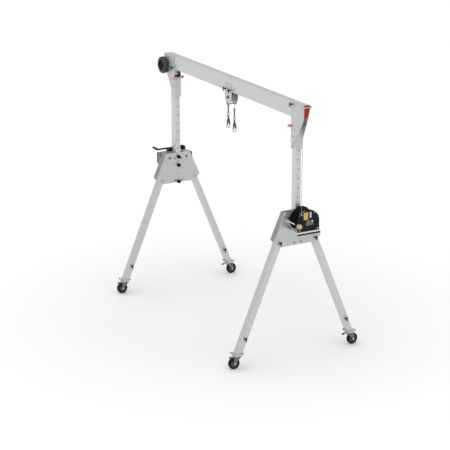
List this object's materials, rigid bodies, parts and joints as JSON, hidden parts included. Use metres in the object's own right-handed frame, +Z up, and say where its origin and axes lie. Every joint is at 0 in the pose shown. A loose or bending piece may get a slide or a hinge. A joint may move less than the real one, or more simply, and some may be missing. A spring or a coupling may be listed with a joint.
{
  "type": "gantry crane",
  "caption": "Portable aluminium gantry crane: A-frames on swivel casters, telescoping masts, a hollow beam, wire ropes over a mid-span trolley, and snap hooks.",
  "frame": {"origin": "on the floor, under the middle of the beam", "axes": "+X along the beam towards the winch end, +Y across the beam, +Z up"},
  "size_m": [3.2463, 1.599, 2.776],
  "materials": {
    "aluminium": "satin brushed extrusion",
    "sheet": "satin sheet",
    "zinc": "zinc plated",
    "black": "satin black paint",
    "black_plastic": "matt",
    "rubber": "matt rubber",
    "grey_plastic": "matt",
    "red": "gloss red paint",
    "brass": "dull brass",
    "rope": "wire rope",
    "sheave": "blue-grey plastic",
    "steel": "zinc plated"
  },
  "bodies": {
    "left_frame": {"side_plates_left": "sheet", "legs_left": "aluminium", "pivot_bolts_left": "steel", "frame_pins_left": "black", "mast_guides_left": "grey_plastic", "mast_knobs_left": "black_plastic", "feet_left": "zinc", "rope_up_left": "rope", "block_case": "grey_plastic", "block_mount": "zinc", "block_head": "black", "block_bar": "black"},
    "crank": {"crank": "black"},
    "right_frame": {"side_plates_right": "sheet", "legs_right": "aluminium", "pivot_bolts_right": "steel", "frame_pins_right": "black", "mast_guides_right": "grey_plastic", "mast_knobs_right": "black_plastic", "feet_right": "zinc", "rope_up_right": "rope", "winch_cheeks": "black", "winch_tray": "sheet", "winch_pinion": "brass"},
    "winch_drum": {"winch_drum": "steel"},
    "beam": {"beam_roof": "aluminium", "beam_walls": "aluminium", "beam_lips": "aluminium", "mast_left": "aluminium", "mast_right": "aluminium", "head_left": "sheet", "head_right": "sheet", "head_axles": "steel", "head_sheaves": "sheave", "beam_pins": "black", "lock_bars": "red", "end_caps": "red", "trolley_cheeks": "sheet", "trolley_sheaves": "sheave", "trolley_axles": "steel", "rope_runs": "rope", "wheel_axle": "steel"},
    "transport_wheel": {"transport_wheel": "rubber"},
    "left_link": {"hook_link_left": "zinc", "rope_drop_left": "rope"},
    "left_hook": {"hook_left": "steel"},
    "left_gate": {"hook_gate_left": "steel"},
    "caster_left_front": {"caster_fork_left_front": "zinc"},
    "wheel_left_front": {"caster_wheel_left_front": "rubber"},
    "caster_left_back": {"caster_fork_left_back": "zinc"},
    "wheel_left_back": {"caster_wheel_left_back": "rubber"},
    "right_link": {"hook_link_right": "zinc", "rope_drop_right": "rope"},
    "right_hook": {"hook_right": "steel"},
    "right_gate": {"hook_gate_right": "steel"},
    "caster_right_front": {"caster_fork_right_front": "zinc"},
    "wheel_right_front": {"caster_wheel_right_front": "rubber"},
    "caster_right_back": {"caster_fork_right_back": "zinc"},
    "wheel_right_back": {"caster_wheel_right_back": "rubber"}
  },
  "joints": [
    {"name": "beam_lift", "type": "slide", "parent": "left_frame", "child": "beam", "axis": [0, 0, 1], "range_m": [-0.5, 0], "deforming": ["rope_up_left"]},
    {"name": "right_mast_slide", "type": "slide", "parent": "beam", "child": "right_frame", "axis": [0, 0, 1], "range_m": [0, 0.5], "deforming": ["rope_up_right"]},
    {"name": "winch_turn", "type": "hinge", "parent": "right_frame", "child": "winch_drum", "pos_m": [1.425, 0.0373, 1.572], "axis": [-1, 0, 0], "range_deg": [0, 1800]},
    {"name": "crank_turn", "type": "hinge", "parent": "left_frame", "child": "crank", "pos_m": [-1.503, 0, 1.628], "axis": [-1, 0, 0], "range_deg": [0, 2700]},
    {"name": "transport_wheel_spin", "type": "hinge", "parent": "beam", "child": "transport_wheel", "pos_m": [-1.5, -0.08, 2.635], "axis": [0, 1, 0], "continuous": true},
    {"name": "left_hook_hoist", "type": "slide", "parent": "beam", "child": "left_link", "axis": [0, 0, -1], "range_m": [0, 1.5], "deforming": ["rope_drop_left"]},
    {"name": "left_hook_swivel", "type": "hinge", "parent": "left_link", "child": "left_hook", "pos_m": [-0.078, -0.01, 2.3157], "axis": [0, 0, 1], "continuous": true},
    {"name": "left_gate_swing", "type": "hinge", "parent": "left_hook", "child": "left_gate", "pos_m": [-0.078, -0.018, 2.2757], "axis": [1, 0, 0], "range_deg": [0, 24], "stiffness_Nm_per_rad": 0.05, "springref_deg": -17.19},
    {"name": "caster_swivel_left_front", "type": "hinge", "parent": "left_frame", "child": "caster_left_front", "pos_m": [-1.333, -0.7, 0.15], "axis": [0, 0, 1], "continuous": true},
    {"name": "wheel_spin_left_front", "type": "hinge", "parent": "caster_left_front", "child": "wheel_left_front", "pos_m": [-1.333, -0.737, 0.0625], "axis": [1, 0, 0], "continuous": true},
    {"name": "caster_swivel_left_back", "type": "hinge", "parent": "left_frame", "child": "caster_left_back", "pos_m": [-1.333, 0.7, 0.15], "axis": [0, 0, 1], "continuous": true},
    {"name": "wheel_spin_left_back", "type": "hinge", "parent": "caster_left_back", "child": "wheel_left_back", "pos_m": [-1.333, 0.737, 0.0625], "axis": [1, 0, 0], "continuous": true},
    {"name": "right_hook_hoist", "type": "slide", "parent": "beam", "child": "right_link", "axis": [0, 0, -1], "range_m": [0, 1.5], "deforming": ["rope_drop_right"]},
    {"name": "right_hook_swivel", "type": "hinge", "parent": "right_link", "child": "right_hook", "pos_m": [0.022, 0.01, 2.2877], "axis": [0, 0, 1], "continuous": true},
    {"name": "right_gate_swing", "type": "hinge", "parent": "right_hook", "child": "right_gate", "pos_m": [0.022, 0.002, 2.2477], "axis": [1, 0, 0], "range_deg": [0, 24], "stiffness_Nm_per_rad": 0.05, "springref_deg": -17.19},
    {"name": "caster_swivel_right_front", "type": "hinge", "parent": "right_frame", "child": "caster_right_front", "pos_m": [1.333, -0.7, 0.15], "axis": [0, 0, 1], "continuous": true},
    {"name": "wheel_spin_right_front", "type": "hinge", "parent": "caster_right_front", "child": "wheel_right_front", "pos_m": [1.333, -0.737, 0.0625], "axis": [1, 0, 0], "continuous": true},
    {"name": "caster_swivel_right_back", "type": "hinge", "parent": "right_frame", "child": "caster_right_back", "pos_m": [1.333, 0.7, 0.15], "axis": [0, 0, 1], "continuous": true},
    {"name": "wheel_spin_right_back", "type": "hinge", "parent": "caster_right_back", "child": "wheel_right_back", "pos_m": [1.333, 0.737, 0.0625], "axis": [1, 0, 0], "continuous": true}
  ],
  "couplings": [
    {"joint": "right_mast_slide", "follows": "beam_lift", "ratio": -1},
    {"joint": "left_hook_hoist", "follows": "winch_turn", "m_per_rad": 0.0473},
    {"joint": "right_hook_hoist", "follows": "crank_turn", "m_per_rad": 0.0318}
  ]
}
